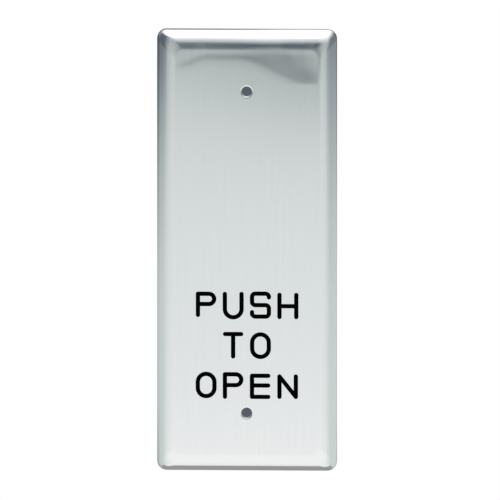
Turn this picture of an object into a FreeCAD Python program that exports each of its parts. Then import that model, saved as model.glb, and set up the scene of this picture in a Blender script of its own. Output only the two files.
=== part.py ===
# Door finger plate: one sheet of stainless steel, pressed into a shallow pan.
# The plate stands upright as it does on a door: X is its width, Z its height,
# and its face looks towards -Y. The rim of the pan lies in the plane Y = 0, which
# is the surface of the door, and the origin is the centre of that rim.
# All lengths are in millimetres and all angles in degrees.

import FreeCAD, Part
import math
import os

from FreeCAD import Vector

# Outline of the plate, measured at its rim, and how far the face stands off the door
plate_width = 45.8
plate_height = 114.3
plate_depth = 4.7
corner_radius = 2.5

# The sheet that it is pressed from
sheet_thickness = 1.2

# Section of the rolled edge, measured outside: a tight roll leaves the wall, and
# where the metal has turned to within ease_angle of the face, an easier curve
# carries it on into the flat
roll_radius = 3.6
ease_radius = 8.5
ease_angle = 14.0

# Two screw holes on the centre line
hole_spacing = 83.3
hole_diameter = 2.7
hole_edge_round = 0.38

# How far a drill runs past the sheet on each side
drill_overrun = 1.0

# The four corners, as the signs of X and Z, in order round the plate
corner_signs = ((1, 1), (-1, 1), (-1, -1), (1, -1))


def wall_height():
    """Height of the straight wall, from the rim to where the roll begins."""
    turn = math.radians(ease_angle)
    curved = roll_radius * math.cos(turn) + ease_radius * (1.0 - math.cos(turn))
    return plate_depth - curved


def edge_curves():
    """The two arcs of the edge's section.

    Each has its centre's inset from the outline, its centre's height over the rim,
    its outside radius, and its tilts from the face where it starts and ends."""
    turn = math.radians(ease_angle)
    reach = ease_radius - roll_radius
    ease_inset = roll_radius + reach * math.sin(turn)
    ease_height = wall_height() - reach * math.cos(turn)
    roll = (roll_radius, wall_height(), roll_radius, 90.0, ease_angle)
    ease = (ease_inset, ease_height, ease_radius, ease_angle, 0.0)
    return roll, ease


def face_inset():
    """Distance from the outline to the edge of the flat face."""
    return edge_curves()[-1][0]


def arc_poles(start, end):
    """Poles of a unit arc between two tilts, as (across, out, weight)."""
    half = math.radians(abs(end - start) / 2.0)
    middle = math.radians((start + end) / 2.0)
    first = (math.sin(math.radians(start)), math.cos(math.radians(start)), 1.0)
    last = (math.sin(math.radians(end)), math.cos(math.radians(end)), 1.0)
    bulge = 1.0 / math.cos(half)
    between = (bulge * math.sin(middle), bulge * math.cos(middle), math.cos(half))
    return first, between, last


def surface_face(rows):
    """Face of the rational surface with these rows of (point, weight)."""
    surface = Part.BezierSurface()
    surface.increase(len(rows) - 1, len(rows[0]) - 1)
    for row, poles in enumerate(rows, 1):
        for column, (point, weight) in enumerate(poles, 1):
            surface.setPole(row, column, point, weight)
    return surface.toShape()


def corner_point(signs, inset, height, radius, along_x, along_z):
    """Point on a rounded corner, given by how far it lies along X and Z of its arc."""
    x = plate_width / 2.0 - inset - radius + radius * along_x
    z = plate_height / 2.0 - inset - radius + radius * along_z
    return Vector(signs[0] * x, -height, signs[1] * z)


def edge_faces(curve, thickness):
    """The four corners and four sides of one arc of the rolled edge.

    The thickness is how deep in the metal the surface lies. A corner is the sum of
    the section's arc, which runs in along the diagonal, and the round of the
    outline, so its wall is as thick as a side's and its edges meet theirs."""
    centre_inset, centre_height, outside_radius, start, end = curve
    rings = []
    for across, out, weight in arc_poles(start, end):
        inset = centre_inset - (outside_radius - thickness) * across
        height = centre_height + (outside_radius - thickness) * out
        radius = corner_radius - thickness * across
        ring = []
        for signs in corner_signs:
            corner = []
            for along_x, along_z, turn_weight in arc_poles(90.0, 0.0):
                point = corner_point(signs, inset, height, radius, along_x, along_z)
                corner.append((point, weight * turn_weight))
            ring.append(corner if signs[0] * signs[1] > 0 else corner[::-1])
        rings.append(ring)
    faces = []
    for index in range(len(corner_signs)):
        following = (index + 1) % len(corner_signs)
        faces.append(surface_face([ring[index] for ring in rings]))
        faces.append(surface_face([[ring[index][-1], ring[following][0]] for ring in rings]))
    return faces


def outline(inset, height, radius):
    """Rounded rectangle at this inset from the plate's outline, as a closed wire."""
    middle = math.sqrt(0.5)
    arcs = []
    for signs in corner_signs:
        points = [corner_point(signs, inset, height, radius, along_x, along_z)
                  for along_x, along_z in ((1.0, 0.0), (middle, middle), (0.0, 1.0))]
        arcs.append(points if signs[0] * signs[1] > 0 else points[::-1])
    edges = []
    for index, points in enumerate(arcs):
        following = arcs[(index + 1) % len(arcs)][0]
        edges.append(Part.Arc(*points).toShape())
        edges.append(Part.LineSegment(points[-1], following).toShape())
    return Part.Wire(edges)


def rim_outline(thickness):
    """Outline of the pan's outside, or of its inside when given the thickness."""
    return outline(thickness, 0.0, corner_radius - thickness)


def skin(thickness):
    """Wall, rolled edge and flat of one side of the sheet, as a list of faces."""
    faces = rim_outline(thickness).extrude(Vector(0, -wall_height(), 0)).Faces
    for curve in edge_curves():
        faces += edge_faces(curve, thickness)
    faces.append(Part.Face(outline(face_inset(), plate_depth - thickness, corner_radius)))
    return faces


def pressed_pan():
    """The pressed sheet before drilling: outer skin, inner skin and the rim between."""
    rim = Part.Face(rim_outline(0.0)).cut(Part.Face(rim_outline(sheet_thickness)))
    shell = Part.makeShell(skin(0.0) + skin(sheet_thickness) + rim.Faces)
    shell.sewShape()
    pan = Part.makeSolid(shell)
    if pan.Volume < 0.0:
        pan.reverse()
    return pan


def screw_hole(height):
    """Drill for the screw hole at this height on the centre line."""
    length = sheet_thickness + 2.0 * drill_overrun
    back = sheet_thickness - plate_depth + drill_overrun
    return Part.makeCylinder(hole_diameter / 2.0, length, Vector(0, back, height),
                             Vector(0, -1, 0))


def front_hole_edges(plate):
    """The round edges where the screw holes break the front of the face."""
    circles = [edge for edge in plate.Edges if isinstance(edge.Curve, Part.Circle)]
    return [edge for edge in circles
            if abs(edge.Curve.Center.y + plate_depth) < 1e-6
            and abs(edge.Curve.Radius - hole_diameter / 2.0) < 1e-6]


def finger_plate():
    """The whole plate: the pan with its two screw holes, their front edges rounded."""
    plate = pressed_pan()
    for side in (1, -1):
        plate = plate.cut(screw_hole(side * hole_spacing / 2.0))
    plate = plate.makeFillet(hole_edge_round, front_hole_edges(plate))
    return plate.Solids[0]


os.makedirs("parts", exist_ok=True)
finger_plate().exportStep("parts/finger_plate.step")
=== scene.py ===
# %% [markdown]
# # A door finger plate in satin stainless steel
#
# The real plate is one sheet of stainless steel, about 46 by 114 mm, pressed into a
# pan less than 5 mm deep so that its edges roll back to the door. Two small holes
# take its screws, and a short legend is cut into the face and filled with black.
# We start from the engineer's solid model. It fixes every size and every place, so
# it is loaded first, and all that follows is made in metres in the same frame:
# X is the width, Z the height, and the face looks towards -Y.

# %% Load the frame
import math

import bpy
import bmesh
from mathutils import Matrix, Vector


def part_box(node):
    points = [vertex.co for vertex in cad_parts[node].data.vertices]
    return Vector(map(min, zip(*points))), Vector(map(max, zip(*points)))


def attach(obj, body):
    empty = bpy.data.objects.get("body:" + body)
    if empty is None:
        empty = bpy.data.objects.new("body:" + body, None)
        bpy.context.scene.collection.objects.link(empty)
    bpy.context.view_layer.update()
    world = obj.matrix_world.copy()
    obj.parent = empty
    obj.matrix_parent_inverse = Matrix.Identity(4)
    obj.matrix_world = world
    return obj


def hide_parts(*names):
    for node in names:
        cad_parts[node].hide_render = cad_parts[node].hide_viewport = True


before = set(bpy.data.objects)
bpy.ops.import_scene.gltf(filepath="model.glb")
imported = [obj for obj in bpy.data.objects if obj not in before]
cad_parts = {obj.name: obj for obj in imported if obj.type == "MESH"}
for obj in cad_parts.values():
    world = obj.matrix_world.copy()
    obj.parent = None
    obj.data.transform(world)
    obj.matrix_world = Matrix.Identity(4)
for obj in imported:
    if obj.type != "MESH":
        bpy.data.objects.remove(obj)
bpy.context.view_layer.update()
plate_low, plate_high = (Vector(corner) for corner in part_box("finger_plate"))
plate_size = plate_high - plate_low
print("plate", [round(1000 * side, 2) for side in plate_size], "mm")

# %% [markdown]
# ## The view
#
# The plate's long edges stay parallel in the picture, so it was seen from far away
# through a long lens. An orthographic camera draws it so. The rolled edge shows a
# little of its top and none of the underside, which puts the camera about 11 degrees
# above the plate, and the roll on the right shows slightly wider, so the camera
# stands a degree or two to the right.

# %% Camera
MM = 0.001
CAMERA_HEIGHT_ANGLE = math.radians(11.0)
CAMERA_SIDE_ANGLE = math.radians(1.65)
CAMERA_DISTANCE = 1.2
PICTURE_WIDTH = 127.29 * MM
PICTURE_CENTRE = Vector((0.72 * MM, 0.0, -0.26 * MM))

towards_camera = Vector((math.sin(CAMERA_SIDE_ANGLE) * math.cos(CAMERA_HEIGHT_ANGLE),
                         -math.cos(CAMERA_SIDE_ANGLE) * math.cos(CAMERA_HEIGHT_ANGLE),
                         math.sin(CAMERA_HEIGHT_ANGLE)))
bpy.ops.object.camera_add(
    location=PICTURE_CENTRE + CAMERA_DISTANCE * towards_camera,
    rotation=(math.pi / 2 - CAMERA_HEIGHT_ANGLE, 0.0, CAMERA_SIDE_ANGLE))
camera = bpy.context.object
camera.name = "camera"
camera.data.type = "ORTHO"
camera.data.ortho_scale = PICTURE_WIDTH
camera.data.clip_start = 0.01
camera.data.clip_end = 20.0
bpy.context.scene.camera = camera
bpy.context.scene.view_settings.view_transform = "Standard"
print("camera at", [round(value, 3) for value in camera.location])

# %% [markdown]
# ## Helpers for modelling by hand
#
# Each step in edit mode works on what is selected, so these small functions select
# faces or corners by where they are, as we would with the mouse.

# %% Selection helpers
NEAR = 1e-6


def deselect_objects():
    """Leave nothing selected in the scene."""
    bpy.ops.object.select_all(action="DESELECT")


def edit(piece):
    """Go into edit mode on one piece, with nothing selected."""
    deselect_objects()
    piece.select_set(True)
    bpy.context.view_layer.objects.active = piece
    bpy.ops.object.mode_set(mode="EDIT")
    bpy.ops.mesh.select_all(action="DESELECT")


def leave():
    """Go back to object mode."""
    bpy.ops.object.mode_set(mode="OBJECT")


def select_points(piece, wanted):
    """Select the corners that pass a test, and all edges and faces between them."""
    bpy.ops.mesh.select_mode(type="VERT")
    bpy.ops.mesh.select_all(action="DESELECT")
    mesh = bmesh.from_edit_mesh(piece.data)
    for vertex in mesh.verts:
        vertex.select = wanted(vertex.co)
    mesh.select_flush_mode()
    bmesh.update_edit_mesh(piece.data)


def select_faces(piece, wanted):
    """Select the faces that pass a test."""
    bpy.ops.mesh.select_mode(type="FACE")
    bpy.ops.mesh.select_all(action="DESELECT")
    mesh = bmesh.from_edit_mesh(piece.data)
    for face in mesh.faces:
        face.select = wanted(face)
    mesh.select_flush_mode()
    bmesh.update_edit_mesh(piece.data)


def apply_modifier(piece, kind, **settings):
    """Add a modifier, set it up and apply it."""
    deselect_objects()
    piece.select_set(True)
    bpy.context.view_layer.objects.active = piece
    bpy.ops.object.modifier_add(type=kind)
    modifier = piece.modifiers[-1]
    for name, value in settings.items():
        setattr(modifier, name, value)
    bpy.ops.object.modifier_apply(modifier=modifier.name)


def settle(piece):
    """Put the piece's place and turn into its mesh, so its object is at the origin."""
    deselect_objects()
    piece.select_set(True)
    bpy.context.view_layer.objects.active = piece
    bpy.ops.object.transform_apply(location=True, rotation=True, scale=True)


# %% [markdown]
# ## The outline of the sheet
#
# The pan is a rounded rectangle seen from the front. We add a plane that faces the
# front, give it the plate's width and height, and round its four corners with a
# vertex bevel, which draws a true arc of the corner radius.

# %% Rounded outline
CORNER_RADIUS = 2.5 * MM
CORNER_STEPS = 12

deselect_objects()
bpy.ops.mesh.primitive_plane_add(size=1.0, rotation=(math.pi / 2, 0.0, 0.0))
plate = bpy.context.object
plate.name = "pressed_plate"
plate.data.name = "pressed_plate"
plate.scale = (plate_size.x, plate_size.z, 1.0)
settle(plate)
edit(plate)
bpy.ops.mesh.select_all(action="SELECT")
bpy.ops.mesh.bevel(offset=CORNER_RADIUS, segments=CORNER_STEPS, affect="VERTICES")
leave()
print("outline corners", len(plate.data.vertices))

# %% [markdown]
# ## The rolled edge
#
# Pressing rolls the metal over a short straight wall, a tight roll and then an easier
# curve into the flat. We could bevel a box, but a bevel shrinks the corner's radius
# as it goes in, and on the real plate the corner keeps it. So the front face is
# extruded outwards step by step along the section, and at each step every corner is
# moved in bodily by the same amount, which leaves its arc as it was.

# %% Section of the edge
ROLL_RADIUS = 3.6 * MM
EASE_RADIUS = 8.5 * MM
EASE_ANGLE = math.radians(14.0)
ROLL_STEPS = 26
EASE_STEPS = 10

reach = EASE_RADIUS - ROLL_RADIUS
wall = plate_size.y - ROLL_RADIUS * math.cos(EASE_ANGLE) - EASE_RADIUS * (1 - math.cos(EASE_ANGLE))
ease_centre_inset = ROLL_RADIUS + reach * math.sin(EASE_ANGLE)
ease_centre_height = wall - reach * math.cos(EASE_ANGLE)
rim_level = plate_high.y
face_level = plate_low.y


def edge_section():
    """Points of the section from the wall's top to the flat, as (inset, height)."""
    points = []
    for number in range(ROLL_STEPS + 1):
        tilt = math.pi / 2 + (EASE_ANGLE - math.pi / 2) * number / ROLL_STEPS
        points.append((ROLL_RADIUS * (1 - math.sin(tilt)), wall + ROLL_RADIUS * math.cos(tilt)))
    for number in range(1, EASE_STEPS + 1):
        tilt = EASE_ANGLE * (1 - number / EASE_STEPS)
        points.append((ease_centre_inset - EASE_RADIUS * math.sin(tilt),
                       ease_centre_height + EASE_RADIUS * math.cos(tilt)))
    return points


def move_corner_in(piece, level, side, end, distance):
    """Move one corner of the front face diagonally inwards."""
    select_points(piece, lambda point: abs(point.y - level) < NEAR
                  and point.x * side > 0 and point.z * end > 0)
    bpy.ops.transform.translate(value=(-side * distance, 0.0, -end * distance))


# %% Extrude along the section
edit(plate)
reached = (0.0, 0.0)
for inset, height in edge_section():
    select_points(plate, lambda point: abs(point.y + reached[1]) < NEAR)
    bpy.ops.mesh.extrude_region_move(
        TRANSFORM_OT_translate={"value": (0.0, reached[1] - height, 0.0)})
    if inset > reached[0]:
        for side in (1, -1):
            for end in (1, -1):
                move_corner_in(plate, -height, side, end, inset - reached[0])
    reached = (inset, height)
select_faces(plate, lambda face: face.calc_center_median().y > rim_level - NEAR)
bpy.ops.mesh.delete(type="FACE")
leave()
print("edge rolled in", len(plate.data.polygons), "faces; the flat begins",
      round(1000 * reached[0], 3), "mm in")

# %% [markdown]
# ## The wave in the pressing
#
# Thin sheet never comes out of the press quite flat. Near the top of this plate the
# metal sinks back by a fraction of a millimetre, along a line that runs low at both
# ends and lowest on the right, and the polished face shows it as a soft dark wave. A
# bump texture would draw it too, but a real shape also holds from the side. The top
# of the face is cut into a fine grid, and its points are then pushed back. By hand
# this is a soft stroke in sculpt mode. Here the slope of the stroke is written down
# across the plate and up it, and each point sinks by the sum of the slope below it.

# %% Grid at the top of the face
GRID_FOOT = 43.5 * MM
GRID_STEP = 0.5 * MM
WAVE_HALF_WIDTH = 21.0 * MM


def cut_selected(place, direction):
    """Cut the selected faces by a plane."""
    bpy.ops.mesh.bisect(plane_co=place, plane_no=direction)


edit(plate)
bpy.ops.mesh.select_all(action="SELECT")
cut_selected((0.0, 0.0, GRID_FOOT), (0.0, 0.0, 1.0))
face_edge = plate_high.z - ease_centre_inset
level = GRID_FOOT + GRID_STEP
while level < face_edge - GRID_STEP / 2:
    select_faces(plate, lambda face: face.calc_center_median().z > GRID_FOOT
                 and face.normal.y < -1 + NEAR)
    cut_selected((0.0, 0.0, level), (0.0, 0.0, 1.0))
    level += GRID_STEP
columns = round(2 * WAVE_HALF_WIDTH / GRID_STEP)
for column in range(columns + 1):
    select_faces(plate, lambda face: face.calc_center_median().z > GRID_FOOT)
    cut_selected((column * GRID_STEP - WAVE_HALF_WIDTH, 0.0, 0.0), (1.0, 0.0, 0.0))
leave()
print("grid cut", len(plate.data.polygons), "faces")

# %% Push the wave back
WAVE_SOFTNESS = 0.5 * MM
WAVE_TAIL = 3.0 * MM
TAIL_SHARE = 0.2
WAVE_TOP = 51.2 * MM
TOP_SOFTNESS = 0.9 * MM
LEFT_LIP = (0.2 * MM, 2.0 * MM)
RIGHT_LIP = (1.0 * MM, 5.0 * MM)
RIGHT_LIP_SHARE = 0.6
SLOPE_STEPS = 40


def smooth(share):
    """A step from 0 to 1 with soft ends."""
    share = min(max(share, 0.0), 1.0)
    return share * share * (3.0 - 2.0 * share)


def step(x, start, end):
    """A soft step from 0 to 1 between two places across the plate, in millimetres."""
    return smooth((x / MM - start) / (end - start))


def wave_foot(x):
    """Height where the wave begins. It rises from the left end and drops to the right."""
    return (47.9 + 2.3 * step(x, -17.5, -9.5) - 6.15 * step(x, -2.0, 16.5)) * MM


def wave_tilt(x):
    """Steepness of the wave, which fades away at both ends."""
    degrees = 2.2 * step(x, -20.5, -13.0) + 0.85 * step(x, -12.0, 6.0)
    return math.radians(degrees * (1.0 - step(x, 13.5, 22.5)))


def above_lip(x, over_foot):
    """Share of the steepness that is left over the foot. At both ends it is a mere lip."""
    left = 1.0 - step(x, -15.0, -8.0)
    right = RIGHT_LIP_SHARE * step(x, 8.0, 14.0)
    left *= smooth((over_foot - LEFT_LIP[0]) / (LEFT_LIP[1] - LEFT_LIP[0]))
    right *= smooth((over_foot - RIGHT_LIP[0]) / (RIGHT_LIP[1] - RIGHT_LIP[0]))
    return (1.0 - left) * (1.0 - right)


def sunk(x, z):
    """How far the sheet has sunk back at this place, summed up from the wave's foot."""
    foot = wave_foot(x)
    length = (min(z, WAVE_TOP + TOP_SOFTNESS) - GRID_FOOT) / SLOPE_STEPS
    depth = 0.0
    for number in range(SLOPE_STEPS):
        place = GRID_FOOT + (number + 0.5) * length
        tail = smooth((place - foot) / WAVE_TAIL + 1.0)
        rising = smooth((place - foot) / (2 * WAVE_SOFTNESS) + 0.5)
        falling = smooth((WAVE_TOP - place) / (2 * TOP_SOFTNESS) + 0.5)
        share = (TAIL_SHARE * tail + (1.0 - TAIL_SHARE) * rising) * falling
        depth += math.tan(wave_tilt(x)) * share * above_lip(x, place - foot) * length
    return max(depth, 0.0)


deepest = 0.0
for vertex in plate.data.vertices:
    if vertex.co.z > GRID_FOOT and vertex.co.y < -NEAR:
        depth = sunk(vertex.co.x, vertex.co.z)
        vertex.co.y += depth
        deepest = max(deepest, depth)
print("wave sinks", round(1000 * deepest, 3), "mm")

# %% [markdown]
# ## The thickness of the sheet
#
# So far the plate is a skin. A Solidify modifier gives it the sheet's thickness
# inwards, so the outside stays where it is and the back is a hollow pan.

# %% Wall thickness
SHEET = 1.2 * MM

apply_modifier(plate, "SOLIDIFY", thickness=SHEET, offset=-1.0, use_even_offset=True,
               use_quality_normals=True)
print("sheet", len(plate.data.polygons), "faces")

# %% [markdown]
# ## The screw holes
#
# The two holes are drilled straight through on the centre line, and their front
# edges are then broken and polished, wider than deep. We cut with a cylinder and a
# Boolean modifier, bevel the edge that it leaves, and flatten the bevel.

# %% Drill the holes
HOLE_SPACING = 83.3 * MM
HOLE_RADIUS = 1.35 * MM
HOLE_SIDES = 64
HOLE_EDGE_ROUND = 0.38 * MM
HOLE_EDGE_STEPS = 8
HOLE_EDGE_FLATNESS = 0.55
DRILL_LENGTH = 6 * MM


def cut_with(piece, cutter):
    """Cut the cutter out of the piece and delete it."""
    apply_modifier(piece, "BOOLEAN", operation="DIFFERENCE", solver="EXACT", object=cutter)
    bpy.data.objects.remove(cutter)


def from_hole_axis(point):
    """Distance of a point from the axis of the nearer hole."""
    return math.hypot(point.x, abs(point.z) - HOLE_SPACING / 2)


def on_sharp_edge(point):
    """Whether a point lies on the sharp front edge that the drill leaves."""
    on_face = abs(point.y - face_level) < 20 * NEAR
    return on_face and abs(from_hole_axis(point) - HOLE_RADIUS) < 5 * NEAR


def on_bevel(point):
    """Whether a point lies on the bevelled edge of a hole, behind the face."""
    reach = from_hole_axis(point) - HOLE_RADIUS
    depth = point.y - face_level
    return reach < HOLE_EDGE_ROUND + NEAR and NEAR < depth < HOLE_EDGE_ROUND + 5 * NEAR


for end in (1, -1):
    deselect_objects()
    bpy.ops.mesh.primitive_cylinder_add(
        vertices=HOLE_SIDES, radius=HOLE_RADIUS, depth=DRILL_LENGTH,
        location=(0.0, face_level, end * HOLE_SPACING / 2), rotation=(math.pi / 2, 0.0, 0.0))
    drill = bpy.context.object
    settle(drill)
    cut_with(plate, drill)

edit(plate)
select_points(plate, on_sharp_edge)
bpy.ops.mesh.bevel(offset=HOLE_EDGE_ROUND, segments=HOLE_EDGE_STEPS, affect="EDGES")
select_points(plate, on_bevel)
bpy.ops.transform.resize(value=(1.0, HOLE_EDGE_FLATNESS, 1.0),
                         center_override=(0.0, face_level, 0.0))
leave()
print("holes drilled", len(plate.data.polygons), "faces")

# %% [markdown]
# ## The legend
#
# The words are cut by a round engraving cutter that follows the middle of each
# stroke, so every stroke is one width and ends in a half circle. We do the same: a
# small rectangle as wide as the cutter is extruded along the straight runs and spun
# round the bends, and a short cylinder stands where the cutter goes in and comes
# out. The letters are plain strokes drawn for this model, not a typeface.

# %% Cutter's path
STROKE = 1.12 * MM
CUT_DEPTH = 0.35 * MM
CUTTER_RISE = 0.5 * MM
CUTTER_SIDES = 32
BEND_STEP = math.radians(9)
FEWEST_BEND_STEPS = 4
UP, RIGHT, DOWN = math.pi / 2, 0.0, -math.pi / 2

cutter_paths = []


def plunge(x, z):
    """The cutter going straight in at one place."""
    deselect_objects()
    bpy.ops.mesh.primitive_cylinder_add(
        vertices=CUTTER_SIDES, radius=STROKE / 2, depth=CUT_DEPTH + CUTTER_RISE,
        location=(x, face_level + (CUT_DEPTH - CUTTER_RISE) / 2, z),
        rotation=(math.pi / 2, math.pi / CUTTER_SIDES, 0.0))
    settle(bpy.context.object)
    cutter_paths.append(bpy.context.object)


def follow(x, z, heading, moves):
    """Run the cutter from a place. A move is (length,) or (bend radius, turn to the left)."""
    x, z = x * MM, z * MM
    plunge(x, z)
    deselect_objects()
    bpy.ops.mesh.primitive_plane_add(size=1.0)
    path = bpy.context.object
    path.scale = (CUT_DEPTH + CUTTER_RISE, STROKE, 1.0)
    path.rotation_euler = (0.0, math.pi / 2, 0.0)
    settle(path)
    path.rotation_euler = (-math.pi / 2, 0.0, 0.0)
    settle(path)
    path.rotation_euler = (0.0, -heading, 0.0)
    path.location = (x, face_level + (CUT_DEPTH - CUTTER_RISE) / 2, z)
    settle(path)
    edit(path)
    bpy.ops.mesh.select_all(action="SELECT")
    for move in moves:
        if len(move) == 1:
            step_x = move[0] * MM * math.cos(heading)
            step_z = move[0] * MM * math.sin(heading)
            bpy.ops.mesh.extrude_region_move(
                TRANSFORM_OT_translate={"value": (step_x, 0.0, step_z)})
            x, z = x + step_x, z + step_z
        else:
            radius, turn = move[0] * MM, move[1]
            side = 1 if turn > 0 else -1
            centre_x = x - side * radius * math.sin(heading)
            centre_z = z + side * radius * math.cos(heading)
            bpy.ops.mesh.spin(steps=max(FEWEST_BEND_STEPS, round(abs(turn) / BEND_STEP)),
                              angle=turn, center=(centre_x, 0.0, centre_z),
                              axis=(0.0, 1.0, 0.0))
            heading += turn
            x = centre_x + side * radius * math.sin(heading)
            z = centre_z - side * radius * math.cos(heading)
    bpy.ops.mesh.select_all(action="SELECT")
    bpy.ops.mesh.normals_make_consistent(inside=False)
    leave()
    cutter_paths.append(path)
    plunge(x, z)


# %% [markdown]
# Each letter is given by the box that the middle of its strokes fills: its left and
# right, its top and its foot, in millimetres from the centre of the plate.

# %% Letters
P_BOWL = 0.242
S_BEND = 0.85
S_HEAD = 0.1
S_TAIL = 0.3
H_BAR_DROP = 0.06
E_BAR_HEIGHT = 0.54


def letter_p(left, right, top, bottom):
    bowl = P_BOWL * (top - bottom)
    follow(left, bottom, UP, [(top - bottom,)])
    run = right - left - bowl
    follow(left, top, RIGHT, [(run,), (bowl, -math.pi), (run,)])


def letter_u(left, right, top, bottom):
    bend = (right - left) / 2
    follow(left, top, DOWN, [(top - bottom - bend,), (bend, math.pi), (top - bottom - bend,)])


def letter_s(left, right, top, bottom):
    width = right - left - 2 * S_BEND
    height = (top - bottom) / 2 - 2 * S_BEND
    bend_left = (S_BEND, math.pi / 2)
    bend_right = (S_BEND, -math.pi / 2)
    follow(right, top - S_BEND - S_HEAD, UP,
           [(S_HEAD,), bend_left, (width,), bend_left, (height,), bend_left, (width,),
            bend_right, (height,), bend_right, (width,), bend_right, (S_TAIL,)])


def letter_h(left, right, top, bottom):
    follow(left, bottom, UP, [(top - bottom,)])
    follow(right, bottom, UP, [(top - bottom,)])
    follow(left, (top + bottom) / 2 - H_BAR_DROP, RIGHT, [(right - left,)])


def letter_t(left, right, top, bottom):
    follow(left, top, RIGHT, [(right - left,)])
    follow((left + right) / 2, top, DOWN, [(top - bottom,)])


def letter_o(left, right, top, bottom):
    bend = (right - left) / 2
    side = top - bottom - 2 * bend
    follow(left, top - bend, DOWN, [(side,), (bend, math.pi), (side,), (bend, math.pi)])


def letter_e(left, right, top, bottom):
    follow(left, bottom, UP, [(top - bottom,)])
    for height in (top, (1 - E_BAR_HEIGHT) * bottom + E_BAR_HEIGHT * top, bottom):
        follow(left, height, RIGHT, [(right - left,)])


def letter_n(left, right, top, bottom):
    follow(left, bottom, UP, [(top - bottom,)])
    follow(right, bottom, UP, [(top - bottom,)])
    slope = math.atan2(bottom - top, right - left)
    follow(left, top, slope, [(math.hypot(right - left, top - bottom),)])


letter_p(-12.40, -8.28, -10.76, -16.25)
letter_u(-5.55, -1.30, -10.76, -16.82)
letter_s(1.37, 5.67, -10.66, -16.60)
letter_h(8.36, 12.64, -10.93, -16.69)
letter_t(-5.48, -1.40, -21.17, -26.97)
letter_o(1.40, 5.64, -21.22, -27.05)
letter_o(-12.44, -8.20, -31.52, -37.29)
letter_p(-5.53, -1.37, -31.60, -37.42)
letter_e(1.36, 5.50, -31.95, -37.42)
letter_n(8.36, 12.53, -32.09, -37.39)
print("cutter paths", len(cutter_paths))

# %% Cut the legend and fill it
ENAMEL_BELOW = 0.05 * MM
LEGEND_CENTRE = -24.0 * MM
LEGEND_BLOCK = 40.0 * MM
MERGE_DISTANCE = 3 * NEAR
FLAT_ANGLE = 0.002

deselect_objects()
for path in cutter_paths:
    path.select_set(True)
bpy.context.view_layer.objects.active = cutter_paths[0]
bpy.ops.object.join()
legend = bpy.context.object
legend.name = "legend_cutter"


def slab(name, near, far):
    """A flat block behind the whole legend, between two depths under the face."""
    deselect_objects()
    bpy.ops.mesh.primitive_cube_add(
        size=1.0, location=(0.0, face_level + (near + far) / 2, LEGEND_CENTRE))
    block = bpy.context.object
    block.name = name
    block.data.name = name
    block.scale = (LEGEND_BLOCK, far - near, LEGEND_BLOCK)
    settle(block)
    return block


groove = slab("groove", -CUTTER_RISE / 2, CUT_DEPTH)
apply_modifier(groove, "BOOLEAN", operation="INTERSECT", solver="EXACT", use_self=True,
               object=legend)
bpy.data.objects.remove(legend)
edit(groove)
bpy.ops.mesh.select_all(action="SELECT")
bpy.ops.mesh.remove_doubles(threshold=MERGE_DISTANCE)
bpy.ops.mesh.dissolve_limited(angle_limit=FLAT_ANGLE)
leave()
enamel = slab("legend_enamel", ENAMEL_BELOW, CUT_DEPTH + CUTTER_RISE)
apply_modifier(enamel, "BOOLEAN", operation="INTERSECT", solver="EXACT", object=groove)
cut_with(plate, groove)
print("legend", len(enamel.data.polygons), "faces; plate", len(plate.data.polygons), "faces")

# %% Smooth the shading
SHARP_ANGLE = math.radians(30)


def shade(piece):
    """Smooth the shading except over sharp edges, with large flats kept flat."""
    deselect_objects()
    piece.select_set(True)
    bpy.context.view_layer.objects.active = piece
    bpy.ops.object.shade_smooth_by_angle(angle=SHARP_ANGLE)
    apply_modifier(piece, "WEIGHTED_NORMAL", weight=100, keep_sharp=True)


shade(plate)
shade(enamel)

# %% [markdown]
# ## The floor, the backdrop and the light
#
# The plate floats on a clean white ground, so the world is white to the camera and
# to reflections, and the pale floor lies well below. Satin steel shows little of its
# own colour: what we see in it is the studio. The lamps are therefore soft cards,
# placed where the reflections in the picture ask for them. They are part of the
# stage, hidden from the camera, and only shiny surfaces see them.

# %% World
def shown_as_white(tree, output, plain, white):
    """White to the camera and to reflections, and the plain shader to all other light."""
    path = tree.nodes.new("ShaderNodeLightPath")
    shiny = tree.nodes.new("ShaderNodeMath")
    shiny.operation = "MAXIMUM"
    seen = tree.nodes.new("ShaderNodeMath")
    seen.operation = "MAXIMUM"
    choose = tree.nodes.new("ShaderNodeMixShader")
    tree.links.new(path.outputs["Is Glossy Ray"], shiny.inputs[0])
    tree.links.new(path.outputs["Is Transmission Ray"], shiny.inputs[1])
    tree.links.new(path.outputs["Is Camera Ray"], seen.inputs[0])
    tree.links.new(shiny.outputs[0], seen.inputs[1])
    tree.links.new(seen.outputs[0], choose.inputs["Fac"])
    tree.links.new(plain.outputs[0], choose.inputs[1])
    tree.links.new(white.outputs[0], choose.inputs[2])
    tree.links.new(choose.outputs[0], output.inputs["Surface"])


world = bpy.data.worlds.new("studio_white")
bpy.context.scene.world = world
world.use_nodes = True
tree = world.node_tree
tree.nodes.clear()
soft = tree.nodes.new("ShaderNodeBackground")
soft.inputs["Color"].default_value = (0.92, 0.95, 1.0, 1.0)
soft.inputs["Strength"].default_value = 0.8
white = tree.nodes.new("ShaderNodeBackground")
white.inputs["Color"].default_value = (1.0, 1.0, 1.0, 1.0)
white.inputs["Strength"].default_value = 1.0
shown_as_white(tree, tree.nodes.new("ShaderNodeOutputWorld"), soft, white)

# %% Floor
FLOOR_LEVEL = -0.46
FLOOR_SIZE = 8.0

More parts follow.
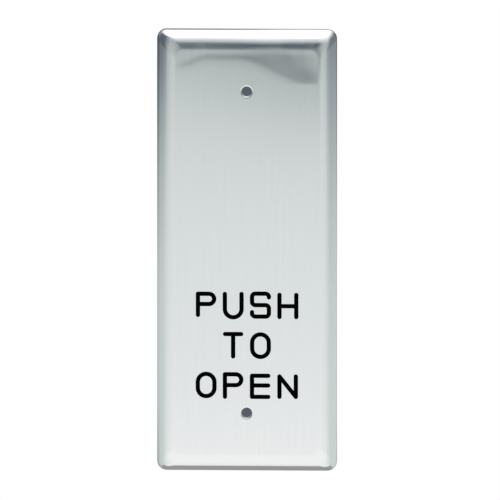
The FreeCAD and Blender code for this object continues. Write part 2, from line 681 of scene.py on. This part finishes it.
deselect_objects()
bpy.ops.mesh.primitive_plane_add(size=FLOOR_SIZE, location=(0.0, 0.0, FLOOR_LEVEL))
floor = bpy.context.object
floor.name = "floor"
settle(floor)
pale = bpy.data.materials.new("pale_floor")
pale.use_nodes = True
tree = pale.node_tree
tree.nodes.clear()
matt = tree.nodes.new("ShaderNodeBsdfDiffuse")
matt.inputs["Color"].default_value = (0.9, 0.9, 0.9, 1.0)
white = tree.nodes.new("ShaderNodeEmission")
shown_as_white(tree, tree.nodes.new("ShaderNodeOutputMaterial"), matt, white)
floor.data.materials.append(pale)
print("floor", FLOOR_SIZE, "m wide")

# %% [markdown]
# ## The light tent
#
# A tent of white cloth stands round the plate. The flat face mirrors a band of it
# just below the camera, and because the tent is near, the top of the face sees a
# higher place on it than the bottom does. So the cloth is bright low down, dim at the
# plate's own height and bright again near the top. Its sides and back are in shade,
# which is what draws the rolled edges on the left and right. One colour ramp up the
# tent's height paints each of its four sides, and the side is chosen by the angle
# round the tent, counted from the front. The cloth hangs a little askew: high up it
# sags on the left and is lifted on the right, and its creases lean to the right.
# All heights are in metres, apart from the stops of the ramps, which are in
# millimetres.

# %% Helpers for cards and their nodes
def ramp(tree, stops):
    """A colour ramp with these stops, each a place from 0 to 1 and a colour."""
    node = tree.nodes.new("ShaderNodeValToRGB")
    marks = node.color_ramp.elements
    while len(marks) < len(stops):
        marks.new(0.5)
    for mark, (place, colour) in zip(marks, stops):
        mark.position = place
        mark.color = (*colour, 1.0)
    return node


def spread(tree, value, low, high):
    """A value brought to the range from 0 at one end to 1 at the other."""
    node = tree.nodes.new("ShaderNodeMapRange")
    node.inputs["From Min"].default_value = low
    node.inputs["From Max"].default_value = high
    tree.links.new(value, node.inputs["Value"])
    return node.outputs["Result"]


def turned(tree, angle, low, high):
    """An angle brought to the range from 0 to 1. Its two ends are in degrees."""
    return spread(tree, angle, math.radians(low), math.radians(high))


def mixed(tree, share, first, second):
    """A colour that goes from the first to the second as the share goes from 0 to 1."""
    node = tree.nodes.new("ShaderNodeMix")
    node.data_type = "RGBA"
    tree.links.new(share, node.inputs["Factor"])
    tree.links.new(first, node.inputs["A"])
    tree.links.new(second, node.inputs["B"])
    return node.outputs["Result"]


def sums(tree, operation, first, second):
    """Two values added, multiplied or otherwise worked out together."""
    node = tree.nodes.new("ShaderNodeMath")
    node.operation = operation
    for socket, value in zip(node.inputs, (first, second)):
        if isinstance(value, float):
            socket.default_value = value
        else:
            tree.links.new(value, socket)
    return node.outputs["Value"]


def times(tree, first, second):
    """Two values multiplied."""
    return sums(tree, "MULTIPLY", first, second)


def only_for_reflections(card):
    """Hide an object from the camera, diffuse light, transmission and shadows, so only shiny
    surfaces see it.
    """
    card.visible_camera = False
    card.visible_diffuse = False
    card.visible_transmission = False
    card.visible_shadow = False


def glowing(name):
    """An empty emission material and its tree, emission node and coordinates."""
    material = bpy.data.materials.new(name)
    material.use_nodes = True
    tree = material.node_tree
    tree.nodes.clear()
    output = tree.nodes.new("ShaderNodeOutputMaterial")
    emission = tree.nodes.new("ShaderNodeEmission")
    tree.links.new(emission.outputs[0], output.inputs["Surface"])
    place = tree.nodes.new("ShaderNodeSeparateXYZ")
    coordinates = tree.nodes.new("ShaderNodeTexCoord")
    tree.links.new(coordinates.outputs["Object"], place.inputs[0])
    return material, tree, emission, place


# %% Tent wall
TENT_RADIUS = 0.35
TENT_FOOT = -0.45
TENT_TOP = 0.50
RAMP_LOW = -0.14
RAMP_HIGH = 0.60
CLOTH_FOLD = 0.19
SAG = -0.55
LIFT = 0.075
LIFT_HEIGHTS = (0.11, 0.15)
LEAN = math.radians(75.0)
CORNER_HEIGHTS = (-0.04, 0.0)

deselect_objects()
bpy.ops.mesh.primitive_cylinder_add(vertices=128, radius=TENT_RADIUS, end_fill_type="NOTHING",
                                    depth=TENT_TOP - TENT_FOOT,
                                    location=(0.0, 0.0, (TENT_TOP + TENT_FOOT) / 2))
tent = bpy.context.object
tent.name = "light_tent"
settle(tent)
only_for_reflections(tent)
material, tree, emission, place = glowing("tent_cloth")
tent.data.materials.append(material)


def at(height):
    """A height on the tent, in millimetres, as a place on its colour ramps."""
    return (height * MM - RAMP_LOW) / (RAMP_HIGH - RAMP_LOW)


forward = times(tree, place.outputs["Y"], -1.0)
azimuth = sums(tree, "ARCTAN2", place.outputs["X"], forward)
above = sums(tree, "MAXIMUM", sums(tree, "SUBTRACT", place.outputs["Z"], CLOTH_FOLD), 0.0)
sag = times(tree, times(tree, above, SAG), turned(tree, azimuth, 4, -11))
lift = times(tree, spread(tree, place.outputs["Z"], *LIFT_HEIGHTS),
             times(tree, turned(tree, azimuth, -3, 5), LIFT))
hung = sums(tree, "ADD", place.outputs["Z"], sums(tree, "ADD", sag, lift))
height = spread(tree, hung, RAMP_LOW, RAMP_HIGH)
front = ramp(tree, [(at(-122), (1.14, 1.14, 1.14)), (at(-107), (0.98, 1.01, 1.02)),
                    (at(-70), (0.92, 0.96, 0.96)), (at(-44), (0.865, 0.925, 0.915)),
                    (at(-33), (0.855, 0.915, 0.905)), (at(-24), (0.735, 0.805, 0.795)),
                    (at(-8), (0.59, 0.65, 0.63)),
                    (at(150), (0.52, 0.58, 0.58)), (at(190), (0.52, 0.57, 0.58)),
                    (at(230), (0.61, 0.66, 0.69)), (at(305), (0.85, 0.89, 0.91)),
                    (at(430), (1.15, 1.18, 1.20))])
left = ramp(tree, [(at(-118), (0.72, 0.78, 0.76)), (at(-70), (0.74, 0.81, 0.79)),
                   (at(-57), (0.63, 0.69, 0.68)), (at(-44), (0.56, 0.62, 0.61)),
                   (at(-31), (0.46, 0.53, 0.54)), (at(-23), (0.32, 0.38, 0.40)),
                   (at(-14), (0.18, 0.21, 0.24)), (at(0), (0.13, 0.16, 0.19)),
                   (at(460), (0.12, 0.15, 0.18))])
right = ramp(tree, [(at(-118), (0.77, 0.84, 0.81)), (at(-93), (0.76, 0.83, 0.81)),
                    (at(-70), (0.70, 0.78, 0.76)), (at(-57), (0.66, 0.73, 0.72)),
                    (at(-44), (0.57, 0.64, 0.63)), (at(-25), (0.42, 0.48, 0.49)),
                    (at(-5), (0.23, 0.26, 0.29)), (at(300), (0.18, 0.21, 0.24)),
                    (at(405), (0.50, 0.56, 0.58)), (at(545), (0.90, 0.95, 0.97))])
back = ramp(tree, [(at(-120), (0.37, 0.38, 0.40)), (at(-108), (0.56, 0.60, 0.59)),
                   (at(-70), (0.53, 0.58, 0.57)), (at(-44), (0.27, 0.31, 0.32)),
                   (at(-25), (0.06, 0.07, 0.08)), (at(110), (0.06, 0.07, 0.08)),
                   (at(118), (0.37, 0.38, 0.40)), (at(238), (0.37, 0.38, 0.40)),
                   (at(255), (1.5, 1.5, 1.5))])
for wall_ramp in (front, left, right, back):
    tree.links.new(height, wall_ramp.inputs["Fac"])
leaning = sums(tree, "SUBTRACT", azimuth, times(tree, place.outputs["Z"], LEAN))
up = spread(tree, place.outputs["Z"], *CORNER_HEIGHTS)
to_front = mixed(tree, up, turned(tree, azimuth, -75, -17), turned(tree, azimuth, -48, -20))
cloth = mixed(tree, to_front, left.outputs["Color"], front.outputs["Color"])
to_right = mixed(tree, up, turned(tree, azimuth, 20, 62), turned(tree, leaning, 20, 42))
cloth = mixed(tree, to_right, cloth, right.outputs["Color"])
to_back = sums(tree, "ADD", turned(tree, azimuth, -98, -142), turned(tree, azimuth, 138, 152))
cloth = mixed(tree, to_back, cloth, back.outputs["Color"])

# %% [markdown]
# A photographer hangs a dark flag in front of the cloth to give the metal an edge.
# Its reflection is the dark line under the top edge of the plate, and where the sheet
# sinks back, the wave mirrors the flag's foot. The flag leans with the cloth, its top
# slopes down to the right, and under its right end lies a paler dusk.

# %% Dark flag on the tent
FLAG_SLANT = 0.32
FLAG_TOP = (0.168, 0.118)
DUSK = 0.6
DUSK_FOOT = (-0.0305, -0.0255)
DUSK_TOP = (0.025, 0.005)
DARK_CLOTH = (0.015, 0.03, 0.065, 1.0)

flag = ramp(tree, [(at(-22), (0.0, 0.0, 0.0)), (at(-12), (0.28, 0.28, 0.28)),
                   (at(8), (0.66, 0.66, 0.66)), (at(22), (0.95, 0.95, 0.95)),
                   (at(36), (1.0, 1.0, 1.0))])
tree.links.new(height, flag.inputs["Fac"])
flag_wide = times(tree, turned(tree, azimuth, -6.8, -4.8), turned(tree, leaning, 3.4, -2.0))
slant = sums(tree, "ADD", place.outputs["Z"], times(tree, azimuth, FLAG_SLANT))
flag_high = times(tree, spread(tree, slant, *FLAG_TOP), flag.outputs["Color"])
dusk_wide = times(tree, turned(tree, azimuth, -3, 1), turned(tree, azimuth, 12, 3))
dusk_high = times(tree, spread(tree, place.outputs["Z"], *DUSK_FOOT),
                  spread(tree, place.outputs["Z"], *DUSK_TOP))
dusk_share = times(tree, times(tree, dusk_high, dusk_wide), DUSK)
shade_share = sums(tree, "MAXIMUM", times(tree, flag_wide, flag_high), dusk_share)
dark = tree.nodes.new("ShaderNodeRGB")
dark.outputs["Color"].default_value = DARK_CLOTH
tree.links.new(mixed(tree, shade_share, cloth, dark.outputs["Color"]), emission.inputs["Color"])

# %% Soft box overhead
SOFT_BOX = (0.62, 0.70)
SOFT_BOX_GLOW = 1.7

deselect_objects()
bpy.ops.mesh.primitive_plane_add(size=1.0, location=(0.0, 0.0, TENT_TOP))
soft_box = bpy.context.object
soft_box.name = "soft_box"
soft_box.scale = (SOFT_BOX[0], SOFT_BOX[1], 1.0)
settle(soft_box)
only_for_reflections(soft_box)
material, tree, emission, place = glowing("soft_box_cloth")
soft_box.data.materials.append(material)
emission.inputs["Strength"].default_value = SOFT_BOX_GLOW

# %% Cards under the plate
LOW_CARD_EDGE = -0.115
LOW_CARD_BLEND = 0.005

deselect_objects()
bpy.ops.mesh.primitive_plane_add(size=2 * TENT_RADIUS, location=(0.0, 0.0, TENT_FOOT))
low_card = bpy.context.object
low_card.name = "low_card"
settle(low_card)
only_for_reflections(low_card)
material, tree, emission, place = glowing("low_card_board")
low_card.data.materials.append(material)
edge = ramp(tree, [(0.0, (1.1, 1.1, 1.1)), (1.0, (0.38, 0.385, 0.40))])
tree.links.new(spread(tree, place.outputs["Y"], LOW_CARD_EDGE - LOW_CARD_BLEND,
                      LOW_CARD_EDGE + LOW_CARD_BLEND), edge.inputs["Fac"])
tree.links.new(edge.outputs["Color"], emission.inputs["Color"])

# %% [markdown]
# ## What shows through the holes
#
# The pan was photographed lying closed on its rim, so its inside lies in shade, and
# that shade is what the screw holes show. A scrap of card behind each hole glows with
# a fixed dark colour, painted shade that stands for it. The card belongs to the stage.
# Its back is clear and no reflection shows it, so that from behind the hollow of the
# plate is seen with nothing in it.

# %% Painted shade cards behind the holes
HOLE_CARD_WIDTH = 5.0 * MM
HOLE_CARD_GAP = 0.6 * MM
# Painted shade: the dark of the pan's unlit inside, glowing on the cards
PAINTED_SHADE_INSIDE = (0.098, 0.112, 0.138, 1.0)

shade_card_material, tree, emission, place = glowing("painted_shade_card")
emission.inputs["Color"].default_value = PAINTED_SHADE_INSIDE
clear = tree.nodes.new("ShaderNodeBsdfTransparent")
from_behind = tree.nodes.new("ShaderNodeNewGeometry")
choose = tree.nodes.new("ShaderNodeMixShader")
tree.links.new(from_behind.outputs["Backfacing"], choose.inputs["Fac"])
tree.links.new(emission.outputs[0], choose.inputs[1])
tree.links.new(clear.outputs[0], choose.inputs[2])
tree.links.new(choose.outputs[0], tree.nodes["Material Output"].inputs["Surface"])
# Each card glows with painted shade where the holes look into the pan
for end in (1, -1):
    deselect_objects()
    bpy.ops.mesh.primitive_circle_add(
        vertices=32, radius=HOLE_CARD_WIDTH / 2, fill_type="NGON",
        rotation=(math.pi / 2, 0.0, 0.0),
        location=(0.0, face_level + SHEET + HOLE_CARD_GAP, end * HOLE_SPACING / 2))
    hole_shade_card = bpy.context.object
    hole_shade_card.name = "hole_shade_card"
    settle(hole_shade_card)
    hole_shade_card.data.materials.append(shade_card_material)
    hole_shade_card.visible_shadow = False
    hole_shade_card.visible_diffuse = False
    hole_shade_card.visible_glossy = False
    print("card faces", [round(value, 1) for value in hole_shade_card.data.polygons[0].normal])

# %% [markdown]
# ## Satin stainless steel
#
# Satin steel is brushed one way, here up and down the plate. Each fine scratch
# spreads a reflection sideways and hardly at all along itself, which is what the
# anisotropic shader does when its tangent lies across the scratches. We build that
# tangent from the surface's normal and the upward direction, so it follows the
# rolled edge. The scratches themselves are noise drawn out along Z.

# %% Steel
GRAIN_ACROSS = 5200.0
GRAIN_ALONG = 90.0
ROUGHNESS = (0.168, 0.192)
NEARLY_UP = (0.0, 0.05, 1.0)

steel = bpy.data.materials.new("satin_steel")
steel.use_nodes = True
tree = steel.node_tree
shader = tree.nodes["Principled BSDF"]
shader.inputs["Metallic"].default_value = 1.0
shader.inputs["Anisotropic"].default_value = 0.4
coordinates = tree.nodes.new("ShaderNodeTexCoord")
stretch = tree.nodes.new("ShaderNodeMapping")
stretch.inputs["Scale"].default_value = (GRAIN_ACROSS, GRAIN_ACROSS, GRAIN_ALONG)
tree.links.new(coordinates.outputs["Object"], stretch.inputs["Vector"])
grain = tree.nodes.new("ShaderNodeTexNoise")
grain.inputs["Scale"].default_value = 1.0
grain.inputs["Detail"].default_value = 3.0
tree.links.new(stretch.outputs["Vector"], grain.inputs["Vector"])
colour = ramp(tree, [(0.3, (0.748, 0.753, 0.753)), (0.7, (0.772, 0.777, 0.777))])
tree.links.new(grain.outputs["Fac"], colour.inputs["Fac"])
tree.links.new(colour.outputs["Color"], shader.inputs["Base Color"])
roughness = tree.nodes.new("ShaderNodeMapRange")
roughness.inputs["To Min"].default_value = ROUGHNESS[0]
roughness.inputs["To Max"].default_value = ROUGHNESS[1]
tree.links.new(grain.outputs["Fac"], roughness.inputs["Value"])
tree.links.new(roughness.outputs["Result"], shader.inputs["Roughness"])
surface = tree.nodes.new("ShaderNodeNewGeometry")
across = tree.nodes.new("ShaderNodeVectorMath")
across.operation = "CROSS_PRODUCT"
across.inputs[1].default_value = NEARLY_UP
tree.links.new(surface.outputs["Normal"], across.inputs[0])
tree.links.new(across.outputs["Vector"], shader.inputs["Tangent"])
plate.data.materials.clear()
plate.data.materials.append(steel)

# %% [markdown]
# The drill leaves the walls of the holes dull, so they get a rougher steel without a
# grain. In edit mode their faces are selected and given the second material.

# %% Drilled walls of the holes
drilled = bpy.data.materials.new("drilled_steel")
drilled.use_nodes = True
shader = drilled.node_tree.nodes["Principled BSDF"]
shader.inputs["Base Color"].default_value = (0.74, 0.74, 0.74, 1.0)
shader.inputs["Metallic"].default_value = 1.0
shader.inputs["Roughness"].default_value = 0.75
plate.data.materials.append(drilled)


def in_hole_wall(face):
    """Whether a face belongs to the straight wall of a screw hole."""
    reach = from_hole_axis(face.calc_center_median())
    return abs(face.normal.y) < 0.3 and reach < HOLE_RADIUS + 0.05 * MM


edit(plate)
select_faces(plate, in_hole_wall)
plate.active_material_index = 1
bpy.ops.object.material_slot_assign()
leave()
print("drilled faces", len([face for face in plate.data.polygons if face.material_index == 1]))

# %% Enamel
black = bpy.data.materials.new("black_enamel_fill")
black.use_nodes = True
shader = black.node_tree.nodes["Principled BSDF"]
shader.inputs["Base Color"].default_value = (0.0005, 0.0005, 0.0005, 1.0)
shader.inputs["Roughness"].default_value = 0.5
shader.inputs["Specular IOR Level"].default_value = 0.01
enamel.data.materials.clear()
enamel.data.materials.append(black)

# %% Finish
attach(enamel, "root")
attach(plate, "root")
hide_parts("finger_plate")
